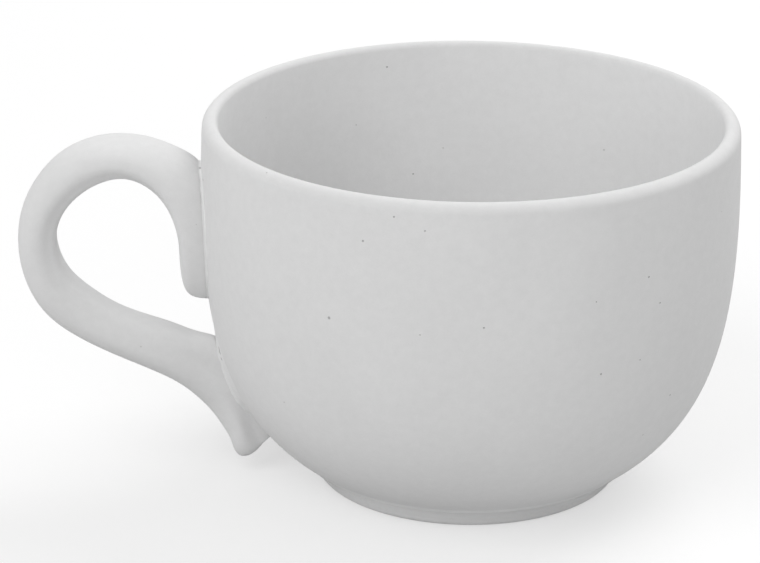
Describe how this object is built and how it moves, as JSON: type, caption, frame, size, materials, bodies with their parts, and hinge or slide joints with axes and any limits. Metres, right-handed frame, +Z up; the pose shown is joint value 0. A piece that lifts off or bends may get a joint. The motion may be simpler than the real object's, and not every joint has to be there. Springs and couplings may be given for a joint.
{
  "type": "cappuccino cup",
  "caption": "Wide unglazed clay cup with a rounded bowl, soft lip, turned foot ring and a looped handle with a pointed tail, for hot drinks.",
  "frame": {"origin": "on the bowl's axis, at the plane that the foot ring rests on", "axes": "+Z up along the bowl's axis, the handle points along -X, Y is across the handle"},
  "size_m": [0.1482, 0.1106, 0.0776],
  "materials": {
    "clay": "matte unglazed bisque with fine pinholes",
    "slip": "matte fired slip, a little paler and rougher than the clay"
  },
  "bodies": {
    "root": {"bowl": "clay", "foot_ring": "clay", "foot_slip": "slip", "handle": "clay", "upper_slip": "slip", "lower_slip": "slip"}
  },
  "joints": []
}
